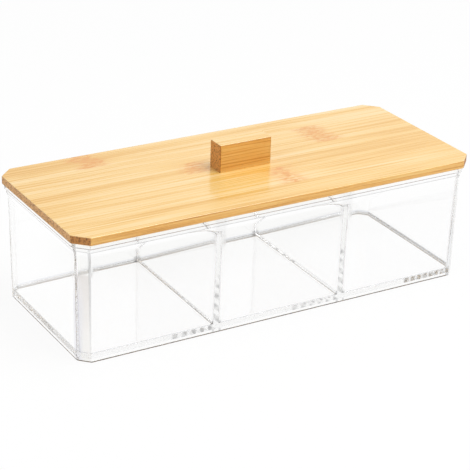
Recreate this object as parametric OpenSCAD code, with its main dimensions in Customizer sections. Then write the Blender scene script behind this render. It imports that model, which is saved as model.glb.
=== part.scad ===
// Compartment organizer: a clear moulded tray split in three, with a lift-off bamboo lid.
// X runs along the tray, Z is up, and the origin is the centre of the tray's base.

/* [Tray] */
// Length of the tray over the lip round its rim
tray_l = 238; // [200:1:280]
// Width of the tray over the lip round its rim
tray_w = 97; // [85:1:130]
// Height of the tray from its foot to its rim
tray_h = 66; // [50:1:90]
// Size of the flat across each upright corner, along either side
corner = 7; // [5:0.5:14]
// Thickness of the tray's walls below the rim
wall = 1.7; // [1.4:0.1:2.5]
// Thickness of the tray's floor
floor_t = 2.4; // [1.8:0.1:4]
// How far each wall leans in on its outside, so that the tray leaves its mould
draft = 0.7; // [0.3:0.1:1.5]
// How far each wall leans in on its inside
core_draft = 1.6; // [0.8:0.1:2.5]
// Radius where the floor turns up into the walls
floor_r = 1; // [0.5:0.1:2]

/* [Foot] */
// Height of the foot that runs round the base and carries the floor
foot_h = 1.5; // [0.8:0.1:3]
// Width of that foot
foot_w = 2; // [1.5:0.1:3]
// Radius of the outer edge round the foot
foot_r = 0.4; // [0.2:0.1:0.8]

/* [Rim] */
// How far the lip round the rim stands out from the band below it
lip = 0.8; // [0.4:0.1:1.5]
// Height of the lip
lip_h = 2.4; // [1.5:0.1:4]
// Height of the upright band below the lip
band_h = 2; // [1:0.1:4]
// Height of the flare below the band, in which the wall curves in
flare_h = 3.9; // [2.5:0.1:6]
// How far the wall curves in there
flare_w = 0.95; // [0.4:0.05:1.5]

/* [Dividers] */
// How many compartments the dividers make
compartments = 3; // [2:1:4]
// Thickness of a divider at its top
divider_t = 2.4; // [1.8:0.1:3]
// How much thicker a divider is at its foot
divider_draft = 0.8; // [0:0.1:1.5]
// How far the dividers stop below the rim
divider_drop = 9.9; // [5:0.1:15]
// Radius where a divider meets the floor
divider_r = 0.5; // [0.3:0.1:1.5]

/* [Lid] */
// How far the lid's edge stands out past the lip
lid_overhang = 1; // [0.5:0.1:3]
// Thickness of the lid at its edge
lid_t = 4.5; // [3.5:0.1:8]
// Depth of the raised step that drops inside the rim
step_t = 2; // [1:0.1:4]
// Gap between that step and the tray's walls
step_gap = 1.5; // [0.6:0.1:2.5]

/* [Handle] */
// Length of the handle block
handle_l = 31.5; // [26:0.5:50]
// Thickness of the handle block
handle_w = 11; // [8.5:0.5:14]
// Height of the handle block above the lid
handle_h = 15.5; // [14:0.5:25]
// Radius of the handle's upright edges
handle_r = 0.8; // [0.3:0.1:2]

/* [Screws] */
// Diameter over the thread of a handle screw
screw_d = 3.5; // [3:0.1:4]
// Diameter of a screw's countersunk head
screw_head_d = 6.8; // [6:0.1:7.5]
// Length of a screw, head and point included
screw_l = 16; // [13:0.5:17]
// Distance between the two screws
screw_gap = 17; // [12:0.5:18]
// Diameter of the pilot holes in the handle, which the threads bite into
pilot_d = 2.8; // [2.4:0.1:2.9]
// Play between a screw and its hole in the lid
screw_play = 0.3; // [0.1:0.05:0.6]

/* [Hidden] */
$fn = 48;

overrun = 1;
arc_step = 15;

// How much shorter a corner flat gets for each millimetre that the outline moves in
flat_loss_share = 2 - sqrt(2);

// Levels in the tray
ledge_z = tray_h - lip_h;
flare_top = ledge_z - band_h;
flare_low = flare_top - flare_h;
floor_z = foot_h + floor_t;
divider_top = tray_h - divider_drop;

// How far in from the lip's face the wall's outside lies below the flare, and at the foot
flare_in = lip + flare_w;
foot_in = flare_in + draft;

// The flare's arc
flare_r = (flare_h * flare_h / flare_w + flare_w) / 2;
flare_turn = asin(flare_h / flare_r);
flare_steps = 8;

// How far in from the lip's face the wall's inside lies at height z
function inside(z) = flare_in + wall + core_draft * (flare_low - z) / tray_h;
divider_pitch = (tray_l - 2 * inside(tray_h)) / compartments;

// Under and over the lid
lid_z = tray_h;
handle_z = lid_z + lid_t;
step_inset = inside(tray_h) + step_gap;

// Screws, driven up through the lid into the handle
screw_z = lid_z - step_t;
screw_hole_d = screw_d + screw_play;
head_hole_d = screw_head_d + screw_play;
head_h = (screw_head_d - screw_d) / 2;
head_rim = head_h / 6;
point_h = screw_d;
pilot_h = screw_z + screw_l + point_h / 2 - handle_z;
recess_w = screw_d / 4;
recess_l = screw_d;
recess_h = head_h * 3 / 4;

// The outside edge of a section from foot to rim, as [distance in, height] points
outer_edge = concat(
    [for (a = [0:arc_step:90]) [foot_in + foot_r * (1 - sin(a)), foot_r * (1 - cos(a))]],
    [for (i = [0:flare_steps]) let (a = flare_turn * i / flare_steps)
        [flare_in - flare_r * (1 - cos(a)), flare_low + flare_r * sin(a)]],
    [[lip, ledge_z], [0, ledge_z], [0, tray_h]]
);

// The inside edge of a section, from the floor to just above the rim
inner_floor = inside(floor_z + floor_r);
inner_edge = concat(
    [for (a = [0:arc_step:90])
        [inner_floor + floor_r * (1 - sin(a)), floor_z + floor_r * (1 - cos(a))]],
    [[inside(tray_h), tray_h], [inside(tray_h), tray_h + overrun]]
);

// Outline of the tray's rim moved out by a distance, with its corner flats kept parallel
module outline(grow) {
    x = tray_l / 2 + grow;
    y = tray_w / 2 + grow;
    flat = corner + grow * flat_loss_share;
    polygon([
        [-x, flat - y], [flat - x, -y], [x - flat, -y], [x, flat - y],
        [x, y - flat], [x - flat, y], [flat - x, y], [-x, y - flat]
    ]);
}

// A bar with the given edge on both sides, pushed straight through along Y
module through_bar(half, edge) {
    count = len(edge);
    points = concat(
        [for (p = edge) [half - p[0], p[1]]],
        [for (i = [1:count]) [edge[count - i][0] - half, edge[count - i][1]]]
    );
    rotate([90, 0, 0])
        linear_extrude(tray_l + tray_w, center = true)
            polygon(points);
}

// What four such bars share: long sides, short sides and corner flats, mitred together
module mitred(edge) {
    half_flat = (tray_l / 2 + tray_w / 2 - corner) / sqrt(2);
    intersection() {
        through_bar(tray_l / 2, edge);
        rotate(90) through_bar(tray_w / 2, edge);
        rotate(45) through_bar(half_flat, edge);
        rotate(-45) through_bar(half_flat, edge);
    }
}

// One divider with a round top, sides that thicken downwards and a round foot
module divider() {
    top_r = divider_t / 2;
    root = top_r + divider_draft / 2;
    side = concat(
        [[root + divider_r, floor_z - floor_t / 2]],
        [for (a = [0:arc_step:90])
            [root + divider_r * (1 - sin(a)), floor_z + divider_r * (1 - cos(a))]],
        [for (a = [0:arc_step:90]) [top_r * cos(a), divider_top - top_r + top_r * sin(a)]]
    );
    count = len(side);
    points = concat(side, [for (i = [2:count]) [-side[count - i][0], side[count - i][1]]]);
    rotate([90, 0, 0])
        linear_extrude(tray_w, center = true)
            polygon(points);
}

// Clear moulded tray on a low foot: one shell whose hollow is split by the dividers
module tray() {
    color([0.86, 0.93, 0.95, 0.45])
    difference() {
        mitred(outer_edge);
        translate([0, 0, -overrun])
            linear_extrude(foot_h + overrun) outline(-foot_in - foot_w);
        difference() {
            mitred(inner_edge);
            for (i = [1:compartments - 1])
                translate([(i - compartments / 2) * divider_pitch, 0, 0]) divider();
        }
    }
}

// Places one thing at each of the two screws
module at_screws() {
    for (side = [-1, 1])
        translate([side * screw_gap / 2, 0, screw_z]) children();
}

// Hole for a screw, widened at its mouth so that the head lies flush
module screw_hole() {
    rotate_extrude() polygon([
        [0, -overrun],
        [head_hole_d / 2, -overrun],
        [head_hole_d / 2, head_rim],
        [screw_hole_d / 2, head_rim + head_h],
        [screw_hole_d / 2, step_t + lid_t + overrun],
        [0, step_t + lid_t + overrun]
    ]);
}

// Bamboo lid: a flat board with a step below that keeps it from sliding off the rim
module lid_board() {
    color([0.86, 0.66, 0.36])
    difference() {
        union() {
            translate([0, 0, lid_z]) linear_extrude(lid_t) outline(lid_overhang);
            translate([0, 0, screw_z]) linear_extrude(step_t + lid_t / 2) outline(-step_inset);
        }
        at_screws() screw_hole();
    }
}

// Solid bamboo block to lift the lid by
module handle() {
    x = handle_l / 2;
    y = handle_w / 2;
    color([0.80, 0.52, 0.22])
    difference() {
        translate([0, 0, handle_z]) linear_extrude(handle_h) {
            square([handle_l - 2 * handle_r, handle_w], center = true);
            square([handle_l, handle_w - 2 * handle_r], center = true);
            for (sx = [-1, 1], sy = [-1, 1])
                translate([sx * (x - handle_r), sy * (y - handle_r)]) circle(handle_r);
        }
        for (side = [-1, 1])
            translate([side * screw_gap / 2, 0, handle_z - overrun])
                cylinder(d = pilot_d, h = pilot_h + overrun);
    }
}

// Two countersunk wood screws that hold the handle from below, each with a cross recess
module handle_screws() {
    color([0.75, 0.75, 0.77])
    at_screws() difference() {
        rotate_extrude() polygon([
            [0, 0],
            [screw_head_d / 2, 0],
            [screw_head_d / 2, head_rim],
            [screw_d / 2, head_rim + head_h],
            [screw_d / 2, screw_l - point_h],
            [0, screw_l]
        ]);
        for (turn = [0, 90])
            rotate(turn) translate([-recess_l / 2, -recess_w / 2, -overrun])
                cube([recess_l, recess_w, recess_h + overrun]);
    }
}

tray();
lid_board();
handle();
handle_screws();
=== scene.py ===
# %% [markdown]
# # A clear organizer tray with a bamboo lid
#
# The object is a long clear tray, split in three by two dividers, under a bamboo board with
# a block handle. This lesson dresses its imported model. The frame gives the place and the
# outer size of each piece, and each cell below models one piece by hand or mixes one finish.

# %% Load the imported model
import math

import bmesh
import bpy
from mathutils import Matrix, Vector


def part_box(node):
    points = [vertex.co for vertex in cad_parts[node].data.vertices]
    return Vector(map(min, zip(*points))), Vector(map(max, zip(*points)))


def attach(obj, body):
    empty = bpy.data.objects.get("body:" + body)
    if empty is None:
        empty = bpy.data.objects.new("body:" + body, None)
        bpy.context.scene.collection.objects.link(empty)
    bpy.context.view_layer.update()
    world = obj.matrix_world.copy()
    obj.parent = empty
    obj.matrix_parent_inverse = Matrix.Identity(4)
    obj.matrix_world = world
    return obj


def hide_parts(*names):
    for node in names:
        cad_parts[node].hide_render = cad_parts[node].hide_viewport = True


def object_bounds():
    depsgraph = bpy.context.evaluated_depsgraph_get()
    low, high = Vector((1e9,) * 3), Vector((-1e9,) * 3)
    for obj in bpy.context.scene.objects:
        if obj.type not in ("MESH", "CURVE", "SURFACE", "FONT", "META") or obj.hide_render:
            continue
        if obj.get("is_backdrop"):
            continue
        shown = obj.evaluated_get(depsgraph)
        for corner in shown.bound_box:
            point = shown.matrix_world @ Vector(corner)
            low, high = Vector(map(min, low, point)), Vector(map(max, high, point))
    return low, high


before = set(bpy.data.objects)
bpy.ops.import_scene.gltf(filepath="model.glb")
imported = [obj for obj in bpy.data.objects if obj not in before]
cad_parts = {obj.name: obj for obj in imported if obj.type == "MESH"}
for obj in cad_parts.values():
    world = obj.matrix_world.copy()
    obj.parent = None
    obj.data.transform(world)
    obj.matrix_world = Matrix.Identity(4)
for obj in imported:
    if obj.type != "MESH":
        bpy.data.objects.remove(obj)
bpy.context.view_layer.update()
MM = 0.001
print("nodes:", ", ".join(sorted(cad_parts)))

# %% [markdown]
# ## The camera
#
# The photograph was taken from the left, from the front and from above, with a long lens.
# A long lens flattens the view, so the far end of the lid looks almost as deep as the near
# one. The place and the turn were found by matching the corners of lid and tray.

# %% Place the camera
EYE = Vector((-430.9, -714.3, 407.4)) * MM
EYE_TURN = (65.60, -1.62, -30.32)
LENS = 128.46
SHIFT_RIGHT, SHIFT_UP = -0.0040, -0.0006

bpy.ops.object.camera_add(location=EYE, rotation=[math.radians(angle) for angle in EYE_TURN])
camera = bpy.context.object
camera.data.lens = LENS
camera.data.shift_x = SHIFT_RIGHT
camera.data.shift_y = SHIFT_UP
bpy.context.scene.camera = camera
print("camera", round(EYE.length, 2), "m from the tray's foot")

# %% [markdown]
# ## Tools for the bench
#
# An operator acts on everything that is selected, so each step starts by clearing the
# selection. Parts of a mesh are then picked in code, by where they lie or which way they
# face, just as a hand would click them.

# %% Pick what the next operator works on
NEAR = 0.01 * MM


def near(a, b):
    """Say whether two lengths are the same, but for rounding."""
    return abs(a - b) < NEAR


def work_on(piece):
    """Make one piece the only one that is selected."""
    bpy.ops.object.select_all(action="DESELECT")
    piece.select_set(True)
    bpy.context.view_layer.objects.active = piece


def pick(kind, wanted):
    """Select the vertices, edges or faces, in edit mode, for which wanted holds."""
    bpy.ops.mesh.select_mode(type=kind)
    bpy.ops.mesh.select_all(action="DESELECT")
    data = bpy.context.edit_object.data
    mesh = bmesh.from_edit_mesh(data)
    parts = {"VERT": mesh.verts, "EDGE": mesh.edges, "FACE": mesh.faces}[kind]
    for part in parts:
        if wanted(part):
            part.select_set(True)
    mesh.select_flush_mode()
    bmesh.update_edit_mesh(data)


# %% [markdown]
# ## Telling edges and faces apart
#
# The walls of a moulding lean a little, so that it slides out of its mould. An edge that
# stands up, or a face that looks down, is therefore told by most of its direction and not by
# all of it.

# %% Tell edges and faces apart
MOSTLY = 0.9


def runs_along(edge, axis):
    """Say whether an edge runs along one axis, or nearly so."""
    way = edge.verts[1].co - edge.verts[0].co
    return abs(getattr(way, axis)) > MOSTLY * way.length


def upright(edge):
    """Say whether an edge stands up."""
    return runs_along(edge, "z")


def level_at(edge, z):
    """Say whether both ends of an edge lie at one height."""
    return all(near(end.co.z, z) for end in edge.verts)


def looks_down(face):
    """Say whether a face looks down."""
    return face.normal.z < -MOSTLY


def looks_up_at(face, z):
    """Say whether a face looks up and lies at one height."""
    return face.normal.z > MOSTLY and near(face.calc_center_median().z, z)


# %% [markdown]
# ## Blocks
#
# Every piece here starts as a plain block, as it would on a bench, and is cut to shape in
# edit mode. A block that was only scaled would stretch every later cut, so its size and its
# place go into its mesh at once.

# %% Start a block
def add_block(name, low, high):
    """Add a box between two corners, with its place in its mesh, and edit it."""
    bpy.ops.object.select_all(action="DESELECT")
    bpy.ops.mesh.primitive_cube_add(size=1, location=(low + high) / 2)
    block = bpy.context.object
    block.scale = high - low
    bpy.ops.object.transform_apply(location=True, rotation=True, scale=True)
    block.name = block.data.name = name
    bpy.ops.object.mode_set(mode="EDIT")
    return block


# %% [markdown]
# ## Rounded edges
#
# No edge of a moulded or sanded piece is truly sharp, and a sharp one would catch no light.
# Each kind of edge could be bevelled in a step of its own, but where two kinds meet the
# second bevel would run into the first. A Bevel modifier rounds them all in one go instead,
# and reads the radius of each from a weight on the edge.

# %% Finish the edges of a piece
SHARP_ANGLE = math.radians(35)


def weigh(piece, biggest, rounded):
    """Give each kind of edge its share of the biggest rounding, as (size, test) pairs."""
    mesh = bmesh.from_edit_mesh(piece.data)
    share = mesh.edges.layers.float.new("bevel_weight_edge")
    for size, wanted in rounded:
        for edge in mesh.edges:
            if wanted(edge):
                edge[share] = size / biggest
    bmesh.update_edit_mesh(piece.data)


def apply(piece, kind, **settings):
    """Add a modifier with its settings, and apply it."""
    work_on(piece)
    modifier = piece.modifiers.new(kind.title(), kind)
    for name, value in settings.items():
        setattr(modifier, name, value)
    bpy.ops.object.modifier_apply(modifier=modifier.name)


def ease(piece, biggest, segments, rounded):
    """Round the edges of a piece by their shares."""
    weigh(piece, biggest, rounded)
    bpy.ops.object.mode_set(mode="OBJECT")
    apply(piece, "BEVEL", width=biggest, segments=segments, limit_method="WEIGHT",
          use_clamp_overlap=False, miter_outer="MITER_SHARP", loop_slide=True)


def shade(piece):
    """Shade the flats of a piece flat and its curves smooth."""
    work_on(piece)
    bpy.ops.object.shade_smooth_by_angle(angle=SHARP_ANGLE)
    apply(piece, "WEIGHTED_NORMAL", keep_sharp=True, weight=100)
    count = sum(len(face.vertices) - 2 for face in piece.data.polygons)
    print(piece.name, "has", count, "triangles")


# %% [markdown]
# ## The tray
#
# The real tray is one shot of clear plastic. It could be cut from a block with Boolean
# modifiers, but faces that meet at a slant then leave slivers, and clear plastic shows every
# one of them. Insets keep clean loops instead: each one moves a ring of wall in by an exact
# distance, which also keeps the flats across the corners parallel.

# %% Sizes of the tray
tray_low, tray_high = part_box("tray")
CORNER = 7 * MM
LIP = 0.8 * MM
LIP_H = 2.4 * MM
BAND_H = 2 * MM
FLARE_H = 3.9 * MM
FLARE_W = 0.95 * MM
FLARE_STEPS = 8
WALL = 1.7 * MM
DRAFT = 0.7 * MM
CORE_DRAFT = 1.6 * MM
FLOOR = 2.4 * MM
FOOT_H = 1.5 * MM
FOOT_W = 2 * MM
COMPARTMENTS = 3
DIVIDER = 2.4 * MM
DIVIDER_DRAFT = 0.8 * MM
DIVIDER_DROP = 9.9 * MM

tray_h = tray_high.z - tray_low.z
ledge_z = tray_h - LIP_H
flare_top = ledge_z - BAND_H
flare_low = flare_top - FLARE_H
flare_in = LIP + FLARE_W
flare_r = (FLARE_H ** 2 / FLARE_W + FLARE_W) / 2
floor_z = FOOT_H + FLOOR
divider_top = tray_h - DIVIDER_DROP
inner_slope = CORE_DRAFT / tray_h


def inner_inset(z):
    """How far in from the lip's face the inside of a wall lies at a height."""
    return flare_in + WALL + inner_slope * (flare_low - z)


rim_inset = inner_inset(tray_h)
pitch = (tray_high.x - tray_low.x - 2 * rim_inset) / COMPARTMENTS
divider_places = [(i - COMPARTMENTS / 2) * pitch for i in range(1, COMPARTMENTS)]
print("dividers at", [round(x / MM, 1) for x in divider_places], "mm")

# %% [markdown]
# ## The outside of the tray
#
# The tray has a lip round its rim, then an upright band, then a flare where the wall curves
# in, and below that a wall that leans in a little, so that the moulding leaves its mould.
# Turning a profile round a path could make it too, but its corners would need trimming.
# The block below is the lip instead, and its underside is inset and pushed down, ring after
# ring. The first ring is the ledge under the lip, which falls by no more than a hair.

# %% Shape the outside of the tray, from the lip down to the foot
tray = add_block("tray_clear", Vector((tray_low.x, tray_low.y, ledge_z)), tray_high)
pick("EDGE", upright)
bpy.ops.mesh.bevel(offset=CORNER, offset_type="OFFSET", segments=1, affect="EDGES")

LEDGE_FALL = 0.02 * MM
rings = [(0.0, ledge_z), (LIP, ledge_z - LEDGE_FALL), (LIP, flare_top)]
sweep = math.asin(FLARE_H / flare_r)
for step in range(1, FLARE_STEPS + 1):
    turn = sweep * (1 - step / FLARE_STEPS)
    ring_in = flare_in - flare_r * (1 - math.cos(turn))
    rings.append((ring_in, flare_low + flare_r * math.sin(turn)))
rings.append((flare_in + DRAFT, 0.0))

pick("FACE", looks_down)
for (inset, height), (next_inset, next_height) in zip(rings, rings[1:]):
    bpy.ops.mesh.inset(thickness=next_inset - inset, depth=height - next_height)
print("outside of the tray:", len(rings), "rings")

# %% [markdown]
# ## The foot
#
# The tray stands on a low foot that runs round its base, so that a table that isn't quite
# flat can't rock it. The foot could be a ring of its own, joined on, but it is moulded in
# one with the tray: two more insets leave it standing and lift the floor.

# %% Raise the floor on a foot
FOOT_LEAN = 0.05 * MM
bpy.ops.mesh.inset(thickness=FOOT_W, depth=0)
bpy.ops.mesh.inset(thickness=FOOT_LEAN, depth=-FOOT_H)
print("the floor stands", FOOT_H / MM, "mm above the table")

# %% [markdown]
# ## The hollow
#
# The core of the mould leaves one shallow hollow down to the tops of the dividers and three
# deep ones between them. A Solidify modifier could turn the block into a shell, but it knows
# nothing of dividers. So the top face is inset and pushed down instead, and cutting it with
# planes at the dividers' level gives them their places.

# %% Sink the hollow to the tops of the dividers
pick("FACE", lambda face: looks_up_at(face, tray_h))
bpy.ops.mesh.inset(thickness=rim_inset, depth=0)
bpy.ops.mesh.inset(thickness=inner_slope * DIVIDER_DROP, depth=-DIVIDER_DROP)

for place in divider_places:
    for side in (-1, 1):
        pick("FACE", lambda face: looks_up_at(face, divider_top))
        bpy.ops.mesh.bisect(plane_co=(place + side * DIVIDER / 2, 0, 0), plane_no=(1, 0, 0))
print("the dividers stop", round(DIVIDER_DROP / MM, 1), "mm below the rim")

# %% [markdown]
# ## The compartments
#
# One inset for each compartment sinks it to the floor, and its walls lean as the mould's
# core does. A divider leans less than that, so the edges at its foot are moved to where they
# belong.

# %% Sink the compartments
depth = divider_top - floor_z
wall_draft = inner_slope * depth


def compartment_top(face):
    """Say whether a face is the still closed mouth of a compartment."""
    centre = face.calc_center_median()
    clear_of_dividers = all(abs(centre.x - place) > DIVIDER for place in divider_places)
    return looks_up_at(face, divider_top) and clear_of_dividers


pick("FACE", compartment_top)
bpy.ops.mesh.inset(thickness=wall_draft, depth=-depth, use_individual=True)

for place in divider_places:
    for side in (-1, 1):
        foot = place + side * (DIVIDER / 2 + wall_draft)
        pick("VERT", lambda vert: near(vert.co.z, floor_z) and near(vert.co.x, foot))
        bpy.ops.transform.translate(value=(side * (DIVIDER_DRAFT / 2 - wall_draft), 0, 0))
print("compartments sunk:", COMPARTMENTS)

# %% [markdown]
# ## Air under the lid
#
# Bamboo and plastic never touch all over, and the thin gap between them matters here. Light
# inside the rim meets air there and turns back, so the rim looks clear and not brown.

# %% Leave a little air under the lid
AIR = 0.05 * MM
pick("VERT", lambda vert: near(vert.co.z, tray_h))
bpy.ops.transform.translate(value=(0, 0, -AIR))
print("air under the lid:", AIR / MM, "mm")

# %% [markdown]
# ## The kinds of edge
#
# Clear plastic is seen by its edges, so each kind gets a radius that fits it. Before they
# can be rounded they have to be told apart: those of the dividers, those in the hollow, and
# those beside the flats across the corners.

# %% Tell the tray's edges apart
SLANTED = 0.5


def by_divider(edge):
    """Say whether an edge lies on one of the dividers."""
    reach = DIVIDER / 2 + DIVIDER_DRAFT
    return any(
        all(abs(end.co.x - place) < reach for end in edge.verts) for place in divider_places
    )


def divider_side(edge, z):
    """Say whether an edge runs along a divider, from front to back, at one height."""
    return level_at(edge, z) and by_divider(edge) and runs_along(edge, "y")


def divider_end(edge):
    """Say whether an edge lies across the top of a divider, where it meets a wall."""
    return level_at(edge, divider_top) and by_divider(edge) and not runs_along(edge, "y")


def beside_flat(edge):
    """Say whether an upright edge bounds one of the flats across the corners."""
    faces = edge.link_faces
    slanted = any(min(abs(face.normal.x), abs(face.normal.y)) > SLANTED for face in faces)
    return upright(edge) and slanted


def inside(edge):
    """Say whether an edge lies in the hollow, and not on the outer wall."""
    middle = (edge.verts[0].co + edge.verts[1].co) / 2
    reach_x, reach_y = (side - rim_inset + NEAR for side in tray_high.xy)
    return middle.z > floor_z - NEAR and abs(middle.x) < reach_x and abs(middle.y) < reach_y


print("the hollow's mouth is", round(2 * (tray_high.y - rim_inset) / MM, 1), "mm wide")

# %% [markdown]
# ## The tray's edges
#
# The radii were chosen with care: small at the foot and the rim, wide where the dividers
# rise to the walls and in the corners of the hollow. Across a corner the wall turns by 45
# degrees and not by 90, so that a bevel needs less width there for the same radius.

# %% Round the tray's edges
BIGGEST = 3 * MM
CORNER_SHARE = math.tan(math.radians(22.5))
EDGE_SEGMENTS = 5
BASE_R = 0.4 * MM
OUTER_EDGE_R = 0.8 * MM
INNER_EDGE_R = 1.5 * MM
FLOOR_R = 1 * MM
ROOT_R = 0.5 * MM
TOP_R = 0.6 * MM
SEAM_R = 0.6 * MM
RISE_R = 2 * MM
RIM_R = 0.35 * MM

ease(tray, BIGGEST, EDGE_SEGMENTS, [
    (BASE_R, lambda edge: level_at(edge, 0)),
    (OUTER_EDGE_R * CORNER_SHARE, lambda edge: beside_flat(edge) and not inside(edge)),
    (INNER_EDGE_R * CORNER_SHARE, lambda edge: beside_flat(edge) and inside(edge)),
    (FLOOR_R, lambda edge: level_at(edge, floor_z)),
    (ROOT_R, lambda edge: divider_side(edge, floor_z)),
    (TOP_R, lambda edge: divider_side(edge, divider_top)),
    (SEAM_R, lambda edge: upright(edge) and by_divider(edge)),
    (RISE_R, divider_end),
    (RIM_R, lambda edge: level_at(edge, tray_h - AIR)),
])
shade(tray)

# %% [markdown]
# ## The lid board
#
# The board is glued up from bamboo strips and planed flat. It could be modelled strip by
# strip, but the glue lines don't show as gaps, so the strips are left to its finish. Here it
# is one block whose four upright edges are sawn off at a slant, so that its flats lie
# parallel to those of the tray. An inset and a short extrusion leave the step on its
# underside, which drops inside the rim.

# %% Shape the lid board
lid_low, lid_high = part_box("lid_board")
STEP = 2 * MM
STEP_GAP = 1.5 * MM
OVERHANG = 1 * MM
FLAT_LOSS = 2 - math.sqrt(2)
lid_z = lid_low.z + STEP
lid_corner = CORNER + OVERHANG * FLAT_LOSS

lid = add_block("lid_bamboo", Vector((lid_low.x, lid_low.y, lid_z)), lid_high)
pick("EDGE", upright)
bpy.ops.mesh.bevel(offset=lid_corner, offset_type="OFFSET", segments=1, affect="EDGES")
pick("FACE", looks_down)
bpy.ops.mesh.inset(thickness=OVERHANG + rim_inset + STEP_GAP, depth=0)
bpy.ops.mesh.extrude_region_move(TRANSFORM_OT_translate={"value": (0, 0, -STEP)})
print("lid board", [round(side / MM, 1) for side in lid_high - lid_low], "mm")

# %% [markdown]
# ## The lid's edges
#
# Sandpaper has broken every edge of the board, by about as much everywhere. The broken edge
# catches the light as a thin bright line round the top.

# %% Sand the lid's edges
LID_EDGE = 0.45 * MM
SANDED_SEGMENTS = 3


def sanded(edge):
    """Say whether sandpaper reaches an edge of the lid."""
    levels = (lid_high.z, lid_z, lid_low.z)
    return beside_flat(edge) or any(level_at(edge, level) for level in levels)


ease(lid, LID_EDGE, SANDED_SEGMENTS, [(LID_EDGE, sanded)])

# %% [markdown]
# ## The handle
#
# The handle is a block sawn from thicker bamboo stock, with the grain along its length. Its
# upright edges are a little rounder than those on top.

# %% Shape the handle
handle_low, handle_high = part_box("handle")
HANDLE_R = 0.8 * MM
HANDLE_EDGE = 0.5 * MM
handle = add_block("handle_bamboo", handle_low, handle_high)
ease(handle, HANDLE_R, SANDED_SEGMENTS, [
    (HANDLE_R, upright),
    (HANDLE_EDGE, lambda edge: level_at(edge, handle_high.z)),
])
print("handle", [round(side / MM, 1) for side in handle_high - handle_low], "mm")

# %% [markdown]
# ## The screw holes
#
# Two screws come up through the lid and bite into the handle. A joiner drills the lid with a
# countersink bit, so that the screws' heads lie flush below the step, and the handle with a
# thinner bit, so that the threads bite. Each bit is turned from a cylinder here, and taken
# away from the board or the block.

# %% Drill the lid and the handle
SCREW_GAP = 17 * MM
HEAD_HOLE = 7.1 * MM
HEAD_RIM = 0.275 * MM
HEAD_H = 1.65 * MM
SCREW_HOLE = 3.8 * MM
PILOT_HOLE = 2.8 * MM
PILOT_DEPTH = 11.25 * MM
OVERRUN = 1 * MM
ROUND = 32


def add_bit(foot, width, length):
    """Add a drill bit that stands on its foot, and edit it."""
    bpy.ops.object.select_all(action="DESELECT")
    bpy.ops.mesh.primitive_cylinder_add(
        vertices=ROUND, radius=width / 2, depth=length, location=foot + Vector((0, 0, length / 2))
    )
    bpy.ops.object.transform_apply(location=True, rotation=True, scale=True)
    bpy.ops.object.mode_set(mode="EDIT")
    return bpy.context.object


def drill(piece, bit):
    """Take a bit away from a piece."""
    bpy.ops.object.mode_set(mode="OBJECT")
    apply(piece, "BOOLEAN", operation="DIFFERENCE", solver="EXACT", object=bit)
    bpy.data.objects.remove(bit)


for x in (-SCREW_GAP / 2, SCREW_GAP / 2):
    bit = add_bit(Vector((x, 0, lid_low.z - OVERRUN)), HEAD_HOLE, OVERRUN + HEAD_RIM)
    pick("FACE", lambda face: looks_up_at(face, lid_low.z + HEAD_RIM))
    bpy.ops.mesh.inset(thickness=(HEAD_HOLE - SCREW_HOLE) / 2, depth=HEAD_H)
    through = (0, 0, lid_high.z - lid_low.z)
    bpy.ops.mesh.extrude_region_move(TRANSFORM_OT_translate={"value": through})
    drill(lid, bit)
    pilot = add_bit(Vector((x, 0, handle_low.z - OVERRUN)), PILOT_HOLE, OVERRUN + PILOT_DEPTH)
    drill(handle, pilot)
shade(lid)
shade(handle)

# %% [markdown]
# ## Shader sums as plain arithmetic
#
# A pattern is a chain of small sums. The class below wraps one output of a node, so that a
# sum written in Python adds the Math nodes that work it out on the surface.

# %% Reckon with wires
class Wire:
    """One output of a node, which Python's own signs can reckon with."""

    def __init__(self, finish, socket):
        self.finish = finish
        self.socket = socket

    def __add__(self, other):
        return self.finish.reckon("ADD", self, other)

    def __sub__(self, other):
        return self.finish.reckon("SUBTRACT", self, other)

    def __rsub__(self, other):
        return self.finish.reckon("SUBTRACT", other, self)

    def __mul__(self, other):
        return self.finish.reckon("MULTIPLY", self, other)

    def __truediv__(self, other):
        return self.finish.reckon("DIVIDE", self, other)

    def __neg__(self):
        return self * -1

    def __abs__(self):
        return self.finish.reckon("ABSOLUTE", self)

    def __floor__(self):
        return self.finish.reckon("FLOOR", self)

    __radd__ = __add__
    __rmul__ = __mul__


# %% [markdown]
# ## Adding nodes
#
# All nodes come from one method, which sets how a node works before it fills its sockets,
# because some settings change which sockets are in use.

# %% Add nodes to a material or to the world
def lay_stops(ramp, stops):
    """Give a colour ramp its stops, in place of the two that it starts with."""
    ramp.elements.remove(ramp.elements[1])
    for place, colour in stops:
        ramp.elements.new(place).color = (*colour, 1)
    ramp.elements.remove(ramp.elements[0])


class Nodes:
    """The nodes of a material, or of the world, and ways to add to them."""

    def __init__(self, block, shader="Principled BSDF"):
        self.block = block
        self.block.use_nodes = True
        self.nodes = block.node_tree.nodes
        self.shader = self.nodes[shader]

    def join(self, socket, value):
        """Give a socket a value, or the wire that brings one."""
        if isinstance(value, Wire):
            self.block.node_tree.links.new(value.socket, socket)
        else:
            socket.default_value = value

    def node(self, kind, settings, *values, out=0, **named):
        """Add a node: its settings first, then its sockets in order or by name."""
        node = self.nodes.new("ShaderNode" + kind)
        for name, value in settings.items():
            if name == "stops":
                lay_stops(node.color_ramp, value)
            else:
                setattr(node, name, value)
        in_use = [socket for socket in node.inputs if socket.enabled]
        for socket, value in zip(in_use, values):
            self.join(socket, value)
        for name, value in named.items():
            self.join(node.inputs[name.replace("_", " ")], value)
        return Wire(self, node.outputs[out])

    def reckon(self, operation, *values):
        """Work out a sum of numbers."""
        return self.node("Math", {"operation": operation}, *values)

    def set(self, **sockets):
        """Set sockets of the shader itself."""
        for name, value in sockets.items():
            self.join(self.shader.inputs[name.replace("_", " ")], value)


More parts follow.
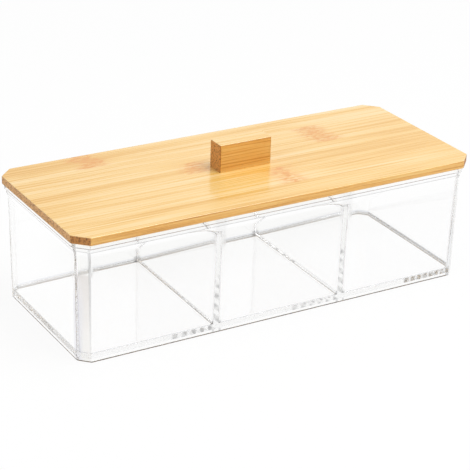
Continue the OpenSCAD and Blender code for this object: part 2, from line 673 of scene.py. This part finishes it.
# %% [markdown]
# ## Finishes
#
# Every finish here needs the same few things: the place on the piece, the way that its
# surface looks, a mix of two colours and a soft edge. Object coordinates give the place,
# because they stay with a piece when it moves. The methods below are short names for them.

# %% Give every finish its short names
class Finish(Nodes):
    """A finish, with short names for what it is mixed from."""

    def place(self):
        """The place on the piece, in metres."""
        return self.node("TexCoord", {}, out="Object")

    def parts(self, vector):
        """Split a vector into its three numbers."""
        return [self.node("SeparateXYZ", {}, vector, out=axis) for axis in "XYZ"]

    def millimetres(self):
        """The place on the piece, in millimetres: along it, across it and up."""
        return [side * (1 / MM) for side in self.parts(self.place())]

    def facing(self):
        """The way that the surface looks, as the three parts of its normal."""
        return self.parts(self.node("TexCoord", {}, out="Normal"))

    def rays(self):
        """Whether a ray comes from the camera, off gloss, or through the plastic."""
        kinds = ("Camera", "Glossy", "Transmission")
        return [self.node("LightPath", {}, out=f"Is {kind} Ray") for kind in kinds]

    def blend(self, share, first, second, mode="MIX"):
        """Mix two colours by a share."""
        settings = {"data_type": "RGBA", "blend_type": mode}
        colours = [side if isinstance(side, Wire) else (*side, 1) for side in (first, second)]
        return self.node("Mix", settings, share, *colours, out=2)

    def fade(self, value, full, none):
        """Fall softly from one to nothing, as a value goes from full to none."""
        settings = {"interpolation_type": "SMOOTHSTEP"}
        return self.node("MapRange", settings, value, full, none, 1.0, 0.0)


def new_finish(name):
    """Start the finish of a piece."""
    return Finish(bpy.data.materials.new(name))


def dress(piece, finish):
    """Give a piece one finish all over."""
    piece.data.materials.clear()
    piece.data.materials.append(finish.block)


# %% [markdown]
# ## Clear plastic
#
# The tray is clear all through and has no colour of its own, so it is seen only by the light that
# it bends, and every edge works as a small prism. A transmission shader bends the light for real,
# in every view and every pose. Its edges also show as soft grey lines, and these are painted shade
# in its colour. For these the shader must know where on the tray it is, so this cell works out the
# distance in from the tray's outline, and marks spots by it.

# %% Find places on the tray
clear = new_finish("clear_plastic")
along, across, height = clear.millimetres()
out_x, out_y = abs(along), abs(across)
normal_x, normal_y, normal_z = clear.facing()
half_l, half_w = (side / MM for side in tray_high.xy)
from_side = clear.reckon("MINIMUM", half_l - out_x, half_w - out_y)
from_flat = (half_l + half_w - CORNER / MM - out_x - out_y) * math.sqrt(0.5)
inset = clear.reckon("MINIMUM", from_side, from_flat)
from_divider = abs(out_x - pitch / MM / 2)
front = clear.fade(across, full=-30.0, none=-20.0)


def near_spot(first, second, spot, full, none):
    """Mark what lies near a spot of a section or a plan, in mm."""
    here = clear.node("CombineXYZ", {}, first, second, 0.0)
    distance = clear.node("VectorMath", {"operation": "DISTANCE"}, here, (*spot, 0.0), out="Value")
    return clear.fade(distance, full, none)


print("the tray reaches", round(half_l, 1), "mm along and", round(half_w, 1), "mm across")

# %% [markdown]
# ## The flats across the corners
#
# In the photograph the flats across the front corners are the greyest faces of the tray, and their
# grey stops short below the rim. A darker room would grey the whole tray with them, so their grey
# is painted shade instead, laid on as a ramp over their height. They are found by their normal,
# which points as much to the side as to the front.

# %% Paint shade on the flats
FLAT_PAINTED_SHADE_STOPS = [
    (0.05, (0.92, 0.91, 0.89)), (0.28, (0.92, 0.90, 0.88)), (0.36, (0.89, 0.87, 0.85)),
    (0.70, (0.83, 0.80, 0.78)), (0.725, (0.83, 0.80, 0.78)), (0.74, (0.98, 0.98, 0.97)),
    (0.95, (1, 1, 1)),
]
slant = abs(normal_x * normal_y * 2)
# Painted shade on the front flats, in a ramp over the height.
flat = clear.fade(slant, full=0.97, none=0.9) * front
flat_painted_shade = clear.node("ValToRGB", {"stops": FLAT_PAINTED_SHADE_STOPS}, height / (tray_h / MM))
tint = clear.blend(flat, (1, 1, 1), flat_painted_shade)
print("the flats are darkest from", FLAT_PAINTED_SHADE_STOPS[3][0], "to", FLAT_PAINTED_SHADE_STOPS[4][0], "of the height")

# %% [markdown]
# ## The corners' upright edges
#
# An upright edge beside a front flat shows as a soft grey line, from light that the corner bends
# in from darker parts of the room. It is painted shade along the edge here. Each front corner has
# two upright edges: one beside the end and one beside the front.

# %% Paint shade on the corners' edges
END_EDGE_Y = 40.0
END_EDGE_PAINTED_SHADE = (0.80, 0.80, 0.84)
FRONT_EDGE_SPOT = (112.0, 46.4)
FRONT_EDGE_PAINTED_SHADE = (0.55, 0.55, 0.56)

# Painted shade along the upright edges beside the front flats.
end_edge_shade = clear.fade(abs(out_y - END_EDGE_Y), full=1.7, none=2.4)
end_edge_shade = end_edge_shade * clear.fade(out_x, full=114.0, none=112.0)
end_edge_shade = end_edge_shade * clear.fade(height, full=30.0, none=50.0)
front_edge_shade = near_spot(out_x, out_y, FRONT_EDGE_SPOT, full=0.5, none=1.1)
tint = clear.blend(end_edge_shade * front, tint, END_EDGE_PAINTED_SHADE)
tint = clear.blend(front_edge_shade * front, tint, FRONT_EDGE_PAINTED_SHADE)
print("upright edges tinted beside the flats")

# %% [markdown]
# ## Edges that run round the tray
#
# Most edges run all the way round, so each is one spot in the tray's section: a distance in from
# its outline, and a height. Each painted shade is full near its spot and gone a little further
# off. The top of the lip gets a painted warm reflection instead of grey, for the bamboo that
# shines through it, and the edge of the foot gets a dark painted contact shadow.

# %% Paint shade on the edges round the tray
# Painted shade at spots in the section; at the lip a painted warm reflection, at the foot a
# painted contact shadow.
ROUND_PAINTED_LIGHT = {
    "ledge under the lip": ((0.5, ledge_z / MM), 0.5, 0.8, (0.72, 0.74, 0.78)),
    "foot of the band": ((0.8, flare_top / MM), 0.3, 0.6, (0.90, 0.90, 0.90)),
    "edge of the foot": ((2.4, 0.0), 0.6, 1.0, (0.22, 0.22, 0.22)),
    "top of the lip": ((1.5, tray_h / MM), 1.2, 2.4, (0.99, 0.93, 0.80)),
    "round of the floor": ((4.9, 4.1), 0.5, 1.0, (0.68, 0.71, 0.76)),
}
for spot, full, none, colour in ROUND_PAINTED_LIGHT.values():
    tint = clear.blend(near_spot(inset, height, spot, full, none), tint, colour)
print("tinted round the tray:", ", ".join(ROUND_PAINTED_LIGHT))

# %% [markdown]
# ## The dividers' feet
#
# Where a divider meets a wall at the floor three rounds run together, and the photograph shows a
# small dark tick. It is painted shade over that spot in the plan, and only near the floor.

# %% Paint shade on the dividers' feet
DIVIDER_FOOT_SPOT = (2.0, 43.0)
DIVIDER_FOOT_PAINTED_SHADE = (0.35, 0.35, 0.36)
divider_foot_shade = near_spot(from_divider, out_y, DIVIDER_FOOT_SPOT, full=0.8, none=1.5)
divider_foot_shade = divider_foot_shade * clear.fade(height, full=5.0, none=6.5)
tint = clear.blend(divider_foot_shade, tint, DIVIDER_FOOT_PAINTED_SHADE)
print("feet tinted:", 2 * len(divider_places))

# %% [markdown]
# ## Faces that aren't quite flat
#
# With perfect faces, light that runs inside the floor or a divider comes out as rows of hard
# black and brown specks, the lid's underside mirrored many times over. A real moulding blurs
# them. A trace of roughness does the same: a little all over, more on the floor and at the
# corners, and most where the dividers meet the walls. It is too little to cloud a wall.

# %% Mix the clear plastic
TRACE = 0.035
FLOOR_BLUR = 0.035
SEAM_BLUR, FRONT_SEAM_BLUR = 0.16, 0.10
TOP_BLUR = 0.12
CORNER_BLUR = 0.06

haze = clear.node("TexNoise", {}, Vector=clear.place(), Scale=40.0, Detail=3.0)
on_floor = clear.fade(abs(normal_z), full=0.95, none=0.9) * clear.fade(height, full=5.0, none=6.0)
beside = clear.fade(from_divider, full=3.0, none=4.0)
by_seam = clear.fade(half_w - out_y, full=5.0, none=8.0) * beside
by_top = clear.fade(height, full=54.5, none=53.5) * beside
by_corner = clear.fade(from_flat, full=4.0, none=5.0)
blur = on_floor * FLOOR_BLUR + by_seam * (SEAM_BLUR - front * (SEAM_BLUR - FRONT_SEAM_BLUR))
blur = blur + by_top * TOP_BLUR + by_corner * CORNER_BLUR + haze * TRACE
# The base colour carries all the painted shade above, and the lip's painted warm reflection.
clear.set(Base_Color=tint, Roughness=blur, IOR=1.49, Transmission_Weight=1.0)
dress(tray, clear)
print("clear plastic on", tray.name)

# %% [markdown]
# ## Bamboo
#
# Bamboo is a bundle of straight fibres, cut here into strips that are glued side by side and
# lacquered. An image of wood would be stretched on the ends, and fixed to one view. A pattern
# worked out in the solid is right on every face: drawn out along the fibres on the faces,
# and dotted with cut fibres on the ends. The colours below go from a dark fibre to a light
# one, apart for the broad faces, the narrow sides and the cut ends.

# %% Choose the bamboo's colours
TOP_STOPS = [(0.1, (0.70, 0.36, 0.030)), (0.5, (0.81, 0.50, 0.128)), (0.9, (0.86, 0.618, 0.290))]
SIDE_STOPS = [(0.1, (0.58, 0.24, 0.03)), (0.5, (0.82, 0.42, 0.085)), (0.9, (0.92, 0.58, 0.18))]
END_STOPS = [(0.35, (0.13, 0.037, 0.006)), (0.9, (0.72, 0.38, 0.145))]
# The slanted ends' colour below is painted shade.
SLANTED_END_SHADE = (0.72, 0.56, 0.34)
# Pale sanded wood, with a painted highlight along the edges.
SANDED_AND_HIGHLIGHT = (0.93, 0.74, 0.42)
# The colour of the node marks, also used for the handle's painted shadow.
MARK_AND_SHADOW = (0.69, 0.26, 0.0)
print("bamboo goes from", TOP_STOPS[0][1], "to", TOP_STOPS[-1][1])


# %% [markdown]
# ## Strips and fibres
#
# Noise that is long in one direction and narrow in the other makes the fibres, and each
# strip takes its own luck from its number. The faces are told apart by the way they look: up
# or down for the broad faces of the strips, and along the fibres for the cut ends.

# %% Lay out strips and fibres
LUCK_SHIFT = 40


class Bamboo(Finish):
    """Bamboo in strips side by side, whose fibres run along X."""

    def __init__(self, name, strip_width, strip_start):
        super().__init__(bpy.data.materials.new(name))
        self.x, self.y, self.z = self.millimetres()
        self.normal_x, self.normal_y, self.normal_z = self.facing()
        self.broad_face = self.fade(abs(self.normal_z), full=0.8, none=0.5)
        self.end = self.fade(abs(self.normal_x), full=0.65, none=0.35)
        number = math.floor((self.y - strip_start) / strip_width)
        self.luck = self.node("TexWhiteNoise", {"noise_dimensions": "1D"}, W=number)
        self.fine = self.fibres(across=0.8, along=70.0, detail=3.0, seed=0.0)
        self.broad = self.fibres(across=4.5, along=180.0, detail=2.0, seed=30.0)

    def fibres(self, across, along, detail, seed):
        """Noise drawn out along the fibres: its size across them and along them, in mm."""
        start = self.x / along + self.luck * LUCK_SHIFT + seed
        spot = self.node("CombineXYZ", {}, start, self.y / across, self.z / across)
        noise = self.node("TexNoise", {}, Vector=spot, Scale=1.0, Detail=detail, Roughness=0.6)
        return noise - 0.5

    def bell(self, value, centre, reach):
        """Rise to one at the centre, and fall to nothing on both sides."""
        off = (value - centre) / reach
        return self.reckon("EXPONENT", -(off * off))


# %% [markdown]
# ## The faces of the strips
#
# The tone of a face is a sum: fine fibres, broad ones, slow clouds, the luck of each strip, and
# patches that are lighter or darker than the rest, placed where the photograph has them. A ramp
# turns the tone into a colour.

# %% Colour the faces
MIDDLE = 0.5
TOP_FINE, TOP_BROAD, TOP_CLOUD, TOP_LUCK = 1.9, 1.6, 0.6, 0.2
SIDE_FINE, SIDE_BROAD = 2.4, 0.8


def colour_faces(wood, side_lift, patches):
    """Colour the broad faces and the sides, with patches of (x, y, two reaches, lift)."""
    cloud = wood.fibres(across=28.0, along=100.0, detail=1.0, seed=60.0)
    tone = wood.fine * TOP_FINE + wood.broad * TOP_BROAD + cloud * TOP_CLOUD
    tone = tone + (wood.luck - 0.5) * TOP_LUCK + MIDDLE
    for x, y, reach_x, reach_y, lift in patches:
        tone = tone + wood.bell(wood.x, x, reach_x) * wood.bell(wood.y, y, reach_y) * lift
    top = wood.node("ValToRGB", {"stops": TOP_STOPS}, tone)
    side_tone = wood.fine * SIDE_FINE + wood.broad * SIDE_BROAD + side_lift + MIDDLE
    side = wood.node("ValToRGB", {"stops": SIDE_STOPS}, side_tone)
    return wood.blend(wood.broad_face, side, top)


# %% [markdown]
# ## Node marks
#
# Where a cane had a joint, its node leaves a short brown mark in one strip. A mark isn't a clean
# line: it wanders a little on its way across the strip, and is broken up into dashes along the
# fibres. Noise does both, and a bell keeps the mark narrow. Marks could be strewn by chance too,
# but the photograph shows where they are, so each gets its place one by one.

# %% Draw the node marks
MARK_REACH = 6.5
MARK_END = 1
WANDER = 12
WANDER_PACE = 0.12
DASH_PACE_X, DASH_PACE_Y = 0.22, 0.7
DASH_SHARE = 0.75


def add_marks(wood, colour, marks):
    """Darken a colour by marks of (x, low y, high y, strength)."""
    for x, low, high, strength in marks:
        pace = wood.y * WANDER_PACE + x
        wander = wood.node("TexNoise", {"noise_dimensions": "1D"}, W=pace, Scale=1.0, Detail=2.0)
        narrow = wood.bell(wood.x + (wander - 0.5) * WANDER, x, MARK_REACH)
        below = wood.fade(wood.y, full=high - MARK_END, none=high + MARK_END)
        above = wood.fade(wood.y, full=low + MARK_END, none=low - MARK_END)
        spot = wood.node("CombineXYZ", {}, wood.x * DASH_PACE_X, wood.y * DASH_PACE_Y, x)
        dashes = wood.node("TexNoise", {}, Vector=spot, Scale=1.0, Detail=3.0)
        dashes = wood.fade(dashes, full=0.51, none=0.49) * DASH_SHARE + (1 - DASH_SHARE)
        mark = narrow * (below * above) * dashes * strength * wood.broad_face
        colour = wood.blend(mark, colour, MARK_AND_SHADOW)
    return colour


# %% [markdown]
# ## Cut ends
#
# On a cut end the fibres are seen from their tips, as dark dots in paler wood. A Voronoi pattern
# gives the dots, one in each of its cells, and soft noise keeps them from being even. The ends
# that are sawn at a slant, across the lid's corners, get painted shade that makes them darker
# still.

# %% Grain the cut ends
DOT_PACE_X = 0.5
DOTS, SPECKS = 1.2, 0.5


def grain_ends(wood, end_tint):
    """Colour the cut ends, with a tint that goes over all of them."""
    spot = wood.node("CombineXYZ", {}, wood.x * DOT_PACE_X, wood.y, wood.z)
    dots = wood.node("TexVoronoi", {}, Vector=spot, Scale=1.1)
    specks = wood.node("TexNoise", {}, Vector=spot, Scale=0.9, Detail=3.0)
    grain = wood.node("ValToRGB", {"stops": END_STOPS}, dots * DOTS + specks * SPECKS)
    # Painted shade on the ends sawn at a slant.
    slant = abs(wood.normal_x * wood.normal_y * 2)
    slanted = wood.fade(slant, full=0.95, none=0.7)
    grain = wood.blend(slanted, grain, SLANTED_END_SHADE, "MULTIPLY")
    return wood.blend(1.0, grain, end_tint, "MULTIPLY")


# %% [markdown]
# ## Sanding and lacquer
#
# Along the edges between top and sides the wood is paler: partly bare wood that sandpaper has laid
# open, partly a painted highlight. A thin lacquer lies over the faces and fills their grain, so
# they shine softly. The cut ends drink it up and stay dull. The fibres stand up a little, which a
# Bump node shows without any geometry.

# %% Put the bamboo together
SANDED_HIGHLIGHT_SLOPE, SANDED_HIGHLIGHT_REACH, SANDED_HIGHLIGHT_SHARE = 0.7, 0.22, 0.7
SHEEN, FIBRE_ROUGH, END_ROUGH = 0.28, 0.1, 0.3
LACQUER = 0.5


def mix_bamboo(name, strip_width, strip_start, side_lift, end_tint, patches, marks):
    """Mix one bamboo finish from its layers."""
    wood = Bamboo(name, strip_width, strip_start)
    colour = colour_faces(wood, side_lift, patches)
    colour = add_marks(wood, colour, marks)
    colour = wood.blend(wood.end, colour, grain_ends(wood, end_tint))
    # Paler colour along the edges: partly sanded wood, partly a painted highlight.
    sanded_edge_and_highlight = wood.bell(wood.normal_z, SANDED_HIGHLIGHT_SLOPE, SANDED_HIGHLIGHT_REACH)
    colour = wood.blend(sanded_edge_and_highlight * SANDED_HIGHLIGHT_SHARE, colour, SANDED_AND_HIGHLIGHT)
    bump = wood.node("Bump", {}, Strength=0.25, Distance=0.06 * MM, Height=wood.fine)
    wood.set(
        Base_Color=colour,
        Roughness=wood.fine * FIBRE_ROUGH + wood.end * END_ROUGH + SHEEN,
        Normal=bump,
        Coat_Weight=LACQUER - wood.end * LACQUER,
        Coat_Roughness=0.1,
    )
    print(name, "has", len(wood.nodes), "nodes")
    return wood


# %% [markdown]
# ## Bamboo for the lid
#
# The lid shows four node marks: one near its left end, one behind the handle on its right, one in
# front of the handle and one beside it. The one beside the handle is partly a node mark and partly
# the handle's painted shadow. Its back left edge and its right end are a shade darker than the
# rest, and its front left a shade lighter.

# %% Lay the bamboo on the lid
lid_wood = mix_bamboo(
    "bamboo_lid",
    strip_width=22,
    strip_start=-34,
    side_lift=0.0,
    end_tint=(0.97, 1, 1),
    patches=[(-60, 44, 90, 12, -0.2), (112, 20, 25, 25, -0.15), (-50, -18, 60, 22, 0.12)],
    # The last mark, beside the handle, is partly the handle's painted shadow.
    marks=[(-72, 31, 50, 2.0), (62, 9, 33, 2.0), (14, -34, -12, 1.1), (-24, 0, 14, 1.5)],
)
dress(lid, lid_wood)

# %% [markdown]
# ## Bamboo for the handle
#
# The handle was sawn from thicker stock, so its strips are narrow layers. It has no marks,
# is a little paler on top than the lid, and its ends are a warmer brown.

# %% Lay the bamboo on the handle
handle_wood = mix_bamboo(
    "bamboo_handle",
    strip_width=5,
    strip_start=-2.5,
    side_lift=0.11,
    end_tint=(1, 0.92, 0.68),
    patches=[(0, 0, 60, 60, 0.25)],
    marks=[],
)
dress(handle, handle_wood)

# %% [markdown]
# ## Steel
#
# The two screws can't be seen unless the lid is turned over. They could be modelled again
# with their threads, but those are hidden in the wood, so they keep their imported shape.
# Their steel is bright, and a fine grain in its roughness breaks up what it reflects, as
# plating does.

# %% Mix the screws' steel
STEEL = (0.62, 0.62, 0.64, 1)
STEEL_ROUGH, GRAIN_ROUGH = 0.25, 0.2
steel = new_finish("screw_steel")
grain = steel.node("TexNoise", {}, Vector=steel.place(), Scale=900.0, Detail=3.0)
steel.set(Base_Color=STEEL, Metallic=1.0, Roughness=grain * GRAIN_ROUGH + STEEL_ROUGH)
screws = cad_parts["handle_screws"]
dress(screws, steel)
print("steel on", screws.name)

# %% [markdown]
# ## What moves with what
#
# The tray stays put. The lid board, the handle and the screws lift off as one, so the two
# new bamboo pieces ride on the lid. Each new piece stands in for the plain solid below it.

# %% Tie the pieces to their bodies
for piece, body, node, slot in (
    (tray, "tray", "tray", "clear_plastic"),
    (lid, "lid", "lid_board", "bamboo"),
    (handle, "lid", "handle", "handle_bamboo"),
):
    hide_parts(node)
    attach(piece, body)
    print(piece.name, "rides on the", body)

# %% [markdown]
# ## The table
#
# The object stands on a wide white table that fills the picture to its edges. It lies a
# hair below the tray's foot, so that plastic and table don't share a face.

# %% Lay the table
TABLE = 8.0
TABLE_DROP = 0.2 * MM
bpy.ops.object.select_all(action="DESELECT")
bpy.ops.mesh.primitive_plane_add(size=TABLE, location=(0, 0, -TABLE_DROP))
table = bpy.context.object
table.name = "white_table"
table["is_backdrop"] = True
print("the table is", TABLE, "m wide")

# %% [markdown]
# ## The table's paper
#
# The photograph shows the tray on white, with hardly a shadow. More lamps would bleach the bamboo,
# so the white is drawn into the table's paper instead: rays that come from the camera, off gloss
# or through the plastic see it glow evenly, at the strength of white. The paper below still
# catches the light, so a trace of the object's shadow shows. Behind the tray a soft shadow of the
# lid is painted into the glow, and only the plastic lets it be seen.

# %% Mix the table's paper
PAPER = (0.9, 0.9, 0.9, 1)
GLOW_SHARE = 0.93
PAINTED_LID_SHADOW = (0.95, 0.95, 0.94)
SHADE_X, SHADE_Y = 20, 60.0

paper = new_finish("white_paper")
paper.set(Base_Color=PAPER, Roughness=0.9)
seen, glossy, bent = paper.rays()
x, y = paper.millimetres()[:2]
# A painted soft shadow of the lid on the paper behind the tray, seen only through the plastic.
painted_shadow_behind = paper.fade(abs(y - SHADE_Y), full=5.0, none=60.0)
painted_shadow_behind = painted_shadow_behind * paper.fade(abs(x - SHADE_X), full=70.0, none=115.0)
white = paper.blend(bent * painted_shadow_behind, (1, 1, 1), PAINTED_LID_SHADOW)
glow = paper.node("Emission", {}, Color=white, Strength=1.0)
share = paper.reckon("MAXIMUM", paper.reckon("MAXIMUM", seen, glossy) * GLOW_SHARE, bent)
both = paper.node("MixShader", {}, share, Wire(paper, paper.shader.outputs[0]), glow)
paper.join(paper.nodes["Material Output"].inputs["Surface"], both)
dress(table, paper)
print("paper that glows by", GLOW_SHARE, "on", table.name)

# %% [markdown]
# ## The room
#
# Clear plastic shows the whole room in its edges. A room that is white all round makes them
# vanish, and the photograph's grey lines come from a darker side of the studio. The world is
# therefore white, but half as bright towards the left, where gloss and plastic look for it.
# As a lamp the world is plain and even, and weak enough to leave the lamps their shadows.

# %% Paint the room
AMBIENT = 0.45
DARK_SIDE = 0.5
DARK_WAY = Vector((-0.85, -0.2, 0.45)).normalized()

sky = Finish(bpy.data.worlds.new("studio"), "Background")
bpy.context.scene.world = sky.block
seen, glossy, bent = sky.rays()
indirect = sky.reckon("MAXIMUM", glossy, bent)
way = sky.node("TexCoord", {}, out="Generated")
dark = sky.node("VectorMath", {"operation": "DOT_PRODUCT"}, way, tuple(DARK_WAY), out="Value")
around = sky.fade(dark, full=0.0, none=0.4) * (1 - DARK_SIDE) + DARK_SIDE
lit = indirect * around + (1 - indirect) * AMBIENT
sky.set(Color=(1, 1, 1, 1), Strength=seen + (1 - seen) * lit)
print("the dark side of the room is", DARK_SIDE, "as bright as the rest")

# %% [markdown]
# ## The lamps
#
# One large softbox hangs in front, to the right and high up: the handle's soft shadow falls
# to its left. A weaker one lights the left ends, and is kept out of reflections, because it
# would bleach the lid when seen from the right. Both are as bright as the bamboo needs to
# come out in its own colour, and no brighter.

# %% Hang the lamps
def add_softbox(name, place, size, power):
    """Hang a square softbox that faces the tray."""
    bpy.ops.object.light_add(type="AREA", location=place)
    lamp = bpy.context.object
    lamp.name = name
    lamp.data.size = size
    lamp.data.energy = power
    aim = Vector((0, 0, tray_h / 2)) - Vector(place)
    lamp.rotation_euler = aim.to_track_quat("-Z", "Y").to_euler()
    print(name, power, "W")
    return lamp


add_softbox("key", place=(0.28, -0.32, 1.1), size=0.9, power=11.3)
fill = add_softbox("fill", place=(-1.1, -0.15, 0.45), size=0.8, power=2.3)
fill.visible_glossy = False

# %% [markdown]
# ## Light that is caught in the plastic
#
# A ray that enters a plate by its edge bounces to and fro inside it many times before it
# gets out. If the renderer gives up early, each edge turns black, so it is told to go on.
# The plain view of the colours keeps white at white.

# %% Follow the light for longer
BOUNCES = 64
paths = bpy.context.scene.cycles
paths.max_bounces = paths.glossy_bounces = paths.transmission_bounces = BOUNCES
bpy.context.scene.view_settings.view_transform = "Standard"
print("bounces:", paths.max_bounces)

# %% [markdown]
# ## The size, once more
#
# The dressed object must be as large as the imported one, or it wouldn't fit where the plan says
# it does. Its box is printed in millimetres.

# %% Print the dressed object's box
visual_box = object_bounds()
low, high = ([round(side / MM, 1) for side in corner] for corner in visual_box)
print("from", low, "to", high, "mm")
